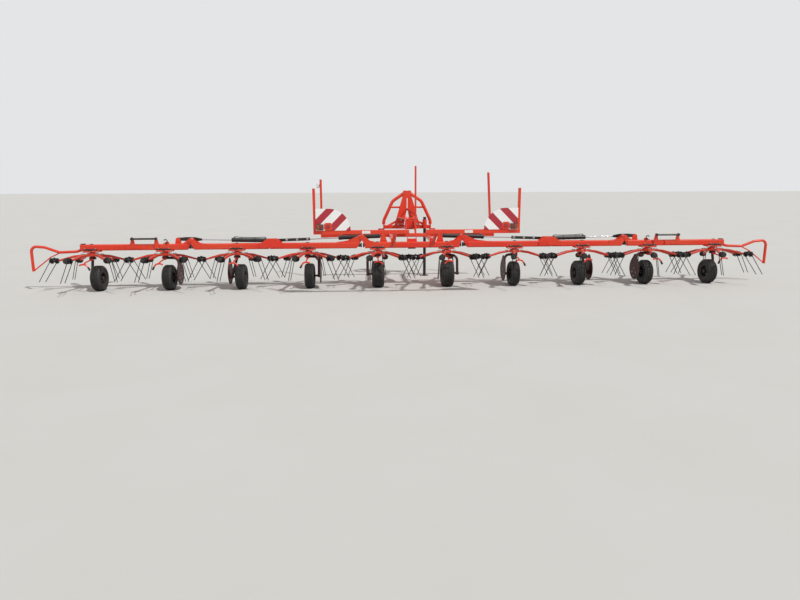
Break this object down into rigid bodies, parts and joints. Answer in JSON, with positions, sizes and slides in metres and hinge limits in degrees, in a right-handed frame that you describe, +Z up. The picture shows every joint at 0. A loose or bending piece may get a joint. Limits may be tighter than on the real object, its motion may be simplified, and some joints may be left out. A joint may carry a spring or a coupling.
{
  "type": "mounted rotary hay tedder",
  "caption": "Wide mounted hay tedder with tined rotors on wheels under a folding beam, guard posts, warning boards and a three-point headstock.",
  "frame": {"origin": "on the ground under the middle of the machine's box, in work with the beam unfolded", "axes": "+X to the right along the beam, +Y the way it travels, +Z up"},
  "size_m": [11.542, 2.1976, 1.82],
  "materials": {
    "paint": "gloss",
    "rotor_paint": "satin",
    "cast": "painted",
    "cylinder": "satin",
    "piston": "polished",
    "tyre": "matt",
    "rim": "satin",
    "board": "reflective",
    "lamp": "clear"
  },
  "bodies": {
    "frame": {"centre_frame": "paint", "main_gearbox": "cast", "rear_rail": "paint", "front_rail": "paint", "warning_boards": "board", "tail_lamps": "lamp"},
    "headstock": {"headstock": "paint"},
    "parking_stand": {"parking_stand": "cast"},
    "wing_1_l": {"wing_1_l": "paint"},
    "wing_2_l": {"wing_2_l": "paint"},
    "wing_3_l": {"wing_3_l": "paint"},
    "wing_4_l": {"wing_4_l": "paint"},
    "inner_barrel_l": {"inner_barrel_l": "cylinder"},
    "inner_rod_l": {"inner_rod_l": "piston"},
    "outer_barrel_l": {"outer_barrel_l": "cylinder"},
    "outer_rod_l": {"outer_rod_l": "cylinder"},
    "wing_1_r": {"wing_1_r": "paint"},
    "wing_2_r": {"wing_2_r": "paint"},
    "wing_3_r": {"wing_3_r": "paint"},
    "wing_4_r": {"wing_4_r": "paint"},
    "inner_barrel_r": {"inner_barrel_r": "cylinder"},
    "inner_rod_r": {"inner_rod_r": "piston"},
    "outer_barrel_r": {"outer_barrel_r": "cylinder"},
    "outer_rod_r": {"outer_rod_r": "cylinder"},
    "rotor_1": {"rotor_1": "rotor_paint"},
    "wheel_1": {"tyre_1": "tyre", "rim_1": "rim"},
    "rotor_2": {"rotor_2": "rotor_paint"},
    "wheel_2": {"tyre_2": "tyre", "rim_2": "rim"},
    "rotor_3": {"rotor_3": "rotor_paint"},
    "wheel_3": {"tyre_3": "tyre", "rim_3": "rim"},
    "rotor_4": {"rotor_4": "rotor_paint"},
    "wheel_4": {"tyre_4": "tyre", "rim_4": "rim"},
    "rotor_5": {"rotor_5": "rotor_paint"},
    "wheel_5": {"tyre_5": "tyre", "rim_5": "rim"},
    "rotor_6": {"rotor_6": "rotor_paint"},
    "wheel_6": {"tyre_6": "tyre", "rim_6": "rim"},
    "rotor_7": {"rotor_7": "rotor_paint"},
    "wheel_7": {"tyre_7": "tyre", "rim_7": "rim"},
    "rotor_8": {"rotor_8": "rotor_paint"},
    "wheel_8": {"tyre_8": "tyre", "rim_8": "rim"},
    "rotor_9": {"rotor_9": "rotor_paint"},
    "wheel_9": {"tyre_9": "tyre", "rim_9": "rim"},
    "rotor_10": {"rotor_10": "rotor_paint"},
    "wheel_10": {"tyre_10": "tyre", "rim_10": "rim"}
  },
  "joints": [
    {"name": "headstock_swivel", "type": "hinge", "parent": "frame", "child": "headstock", "pos_m": [0, 0.46, 0.93], "axis": [0, 0, 1], "range_deg": [-12, 12]},
    {"name": "parking_stand_slide", "type": "slide", "parent": "headstock", "child": "parking_stand", "axis": [0, 0, 1], "range_m": [0, 0.35]},
    {"name": "fold_inner_l", "type": "hinge", "parent": "frame", "child": "wing_4_l", "pos_m": [-0.78, -0.1, 0.77], "axis": [0, 1, 0], "range_deg": [-4, 90]},
    {"name": "float_inner_l", "type": "hinge", "parent": "wing_4_l", "child": "wing_3_l", "pos_m": [-2.16, -0.1, 0.645], "axis": [0, -1, 0], "range_deg": [-4, 4]},
    {"name": "fold_outer_l", "type": "hinge", "parent": "wing_3_l", "child": "wing_2_l", "pos_m": [-3.38, -0.1, 0.746], "axis": [0, 1, 0], "range_deg": [0, 180]},
    {"name": "float_tip_l", "type": "hinge", "parent": "wing_2_l", "child": "wing_1_l", "pos_m": [-4.15, -0.1, 0.645], "axis": [0, 1, 0], "range_deg": [-4, 4]},
    {"name": "fold_inner_r", "type": "hinge", "parent": "frame", "child": "wing_4_r", "pos_m": [0.78, -0.1, 0.77], "axis": [0, -1, 0], "range_deg": [-4, 90]},
    {"name": "float_inner_r", "type": "hinge", "parent": "wing_4_r", "child": "wing_3_r", "pos_m": [2.16, -0.1, 0.645], "axis": [0, 1, 0], "range_deg": [-4, 4]},
    {"name": "fold_outer_r", "type": "hinge", "parent": "wing_3_r", "child": "wing_2_r", "pos_m": [3.38, -0.1, 0.746], "axis": [0, -1, 0], "range_deg": [0, 180]},
    {"name": "float_tip_r", "type": "hinge", "parent": "wing_2_r", "child": "wing_1_r", "pos_m": [4.15, -0.1, 0.645], "axis": [0, -1, 0], "range_deg": [-4, 4]},
    {"name": "inner_barrel_turn_l", "type": "hinge", "parent": "frame", "child": "inner_barrel_l", "pos_m": [-0.45, 0.005, 0.775], "axis": [0, 1, 0], "range_deg": [-3.87, 76.4]},
    {"name": "inner_rod_slide_l", "type": "slide", "parent": "inner_barrel_l", "child": "inner_rod_l", "axis": [-0.9995, 0, -0.0331], "range_m": [-0.2835, 0.01355]},
    {"name": "outer_barrel_turn_l", "type": "hinge", "parent": "wing_3_l", "child": "outer_barrel_l", "pos_m": [-2.21, 0.005, 0.72], "axis": [0, 1, 0], "range_deg": [-0.5, 0.59]},
    {"name": "outer_rod_slide_l", "type": "slide", "parent": "outer_barrel_l", "child": "outer_rod_l", "axis": [-0.9998, 0, 0.0216], "range_m": [-0.44107, 0.001]},
    {"name": "inner_barrel_turn_r", "type": "hinge", "parent": "frame", "child": "inner_barrel_r", "pos_m": [0.45, 0.005, 0.775], "axis": [0, -1, 0], "range_deg": [-3.87, 76.4]},
    {"name": "inner_rod_slide_r", "type": "slide", "parent": "inner_barrel_r", "child": "inner_rod_r", "axis": [0.9995, 0, -0.0331], "range_m": [-0.2835, 0.01355]},
    {"name": "outer_barrel_turn_r", "type": "hinge", "parent": "wing_3_r", "child": "outer_barrel_r", "pos_m": [2.21, 0.005, 0.72], "axis": [0, -1, 0], "range_deg": [-0.5, 0.59]},
    {"name": "outer_rod_slide_r", "type": "slide", "parent": "outer_barrel_r", "child": "outer_rod_r", "axis": [0.9998, 0, 0.0216], "range_m": [-0.44107, 0.001]},
    {"name": "rotor_1_spin", "type": "hinge", "parent": "wing_1_l", "child": "rotor_1", "pos_m": [-4.86, -0.1, 0.54], "axis": [0, 0.1045, 0.9945], "continuous": true},
    {"name": "wheel_1_spin", "type": "hinge", "parent": "wing_1_l", "child": "wheel_1", "pos_m": [-4.75, -0.2, 0.19], "axis": [1, 0, 0], "continuous": true},
    {"name": "rotor_2_spin", "type": "hinge", "parent": "wing_2_l", "child": "rotor_2", "pos_m": [-3.78, -0.1, 0.54], "axis": [0, 0.1045, 0.9945], "continuous": true},
    {"name": "wheel_2_spin", "type": "hinge", "parent": "wing_2_l", "child": "wheel_2", "pos_m": [-3.71, -0.2, 0.19], "axis": [1, 0, 0], "continuous": true},
    {"name": "rotor_3_spin", "type": "hinge", "parent": "wing_3_l", "child": "rotor_3", "pos_m": [-2.7, -0.1, 0.54], "axis": [0, 0.1045, 0.9945], "continuous": true},
    {"name": "wheel_3_spin", "type": "hinge", "parent": "wing_3_l", "child": "wheel_3", "pos_m": [-2.63, -0.2, 0.19], "axis": [1, 0, 0], "continuous": true},
    {"name": "rotor_4_spin", "type": "hinge", "parent": "wing_4_l", "child": "rotor_4", "pos_m": [-1.62, -0.1, 0.54], "axis": [0, 0.1045, 0.9945], "continuous": true},
    {"name": "wheel_4_spin", "type": "hinge", "parent": "wing_4_l", "child": "wheel_4", "pos_m": [-1.59, -0.2, 0.19], "axis": [1, 0, 0], "continuous": true},
    {"name": "rotor_5_spin", "type": "hinge", "parent": "frame", "child": "rotor_5", "pos_m": [-0.54, -0.1, 0.54], "axis": [0, 0.1045, 0.9945], "continuous": true},
    {"name": "wheel_5_spin", "type": "hinge", "parent": "frame", "child": "wheel_5", "pos_m": [-0.54, -0.2, 0.205], "axis": [1, 0, 0], "continuous": true},
    {"name": "rotor_6_spin", "type": "hinge", "parent": "frame", "child": "rotor_6", "pos_m": [0.54, -0.1, 0.54], "axis": [0, 0.1045, 0.9945], "continuous": true},
    {"name": "wheel_6_spin", "type": "hinge", "parent": "frame", "child": "wheel_6", "pos_m": [0.54, -0.2, 0.205], "axis": [1, 0, 0], "continuous": true},
    {"name": "rotor_7_spin", "type": "hinge", "parent": "wing_4_r", "child": "rotor_7", "pos_m": [1.62, -0.1, 0.54], "axis": [0, 0.1045, 0.9945], "continuous": true},
    {"name": "wheel_7_spin", "type": "hinge", "parent": "wing_4_r", "child": "wheel_7", "pos_m": [1.59, -0.2, 0.19], "axis": [1, 0, 0], "continuous": true},
    {"name": "rotor_8_spin", "type": "hinge", "parent": "wing_3_r", "child": "rotor_8", "pos_m": [2.7, -0.1, 0.54], "axis": [0, 0.1045, 0.9945], "continuous": true},
    {"name": "wheel_8_spin", "type": "hinge", "parent": "wing_3_r", "child": "wheel_8", "pos_m": [2.63, -0.2, 0.19], "axis": [1, 0, 0], "continuous": true},
    {"name": "rotor_9_spin", "type": "hinge", "parent": "wing_2_r", "child": "rotor_9", "pos_m": [3.78, -0.1, 0.54], "axis": [0, 0.1045, 0.9945], "continuous": true},
    {"name": "wheel_9_spin", "type": "hinge", "parent": "wing_2_r", "child": "wheel_9", "pos_m": [3.71, -0.2, 0.19], "axis": [1, 0, 0], "continuous": true},
    {"name": "rotor_10_spin", "type": "hinge", "parent": "wing_1_r", "child": "rotor_10", "pos_m": [4.86, -0.1, 0.54], "axis": [0, 0.1045, 0.9945], "continuous": true},
    {"name": "wheel_10_spin", "type": "hinge", "parent": "wing_1_r", "child": "wheel_10", "pos_m": [4.75, -0.2, 0.19], "axis": [1, 0, 0], "continuous": true}
  ],
  "couplings": [
    {"joint": "inner_barrel_turn_l", "follows": "fold_inner_l", "ratio": 0.84328},
    {"joint": "inner_rod_slide_l", "follows": "fold_inner_l", "m_per_rad": -0.17984},
    {"joint": "outer_barrel_turn_l", "follows": "fold_outer_l", "ratio": 0.000501},
    {"joint": "outer_rod_slide_l", "follows": "fold_outer_l", "m_per_rad": -0.14008},
    {"joint": "inner_barrel_turn_r", "follows": "fold_inner_r", "ratio": 0.84328},
    {"joint": "inner_rod_slide_r", "follows": "fold_inner_r", "m_per_rad": -0.17984},
    {"joint": "outer_barrel_turn_r", "follows": "fold_outer_r", "ratio": 0.000501},
    {"joint": "outer_rod_slide_r", "follows": "fold_outer_r", "m_per_rad": -0.14008},
    {"joint": "rotor_2_spin", "follows": "rotor_1_spin", "ratio": -1},
    {"joint": "rotor_3_spin", "follows": "rotor_1_spin", "ratio": 1},
    {"joint": "rotor_4_spin", "follows": "rotor_1_spin", "ratio": -1},
    {"joint": "rotor_5_spin", "follows": "rotor_1_spin", "ratio": 1},
    {"joint": "rotor_6_spin", "follows": "rotor_1_spin", "ratio": -1},
    {"joint": "rotor_7_spin", "follows": "rotor_1_spin", "ratio": 1},
    {"joint": "rotor_8_spin", "follows": "rotor_1_spin", "ratio": -1},
    {"joint": "rotor_9_spin", "follows": "rotor_1_spin", "ratio": 1},
    {"joint": "rotor_10_spin", "follows": "rotor_1_spin", "ratio": -1}
  ]
}
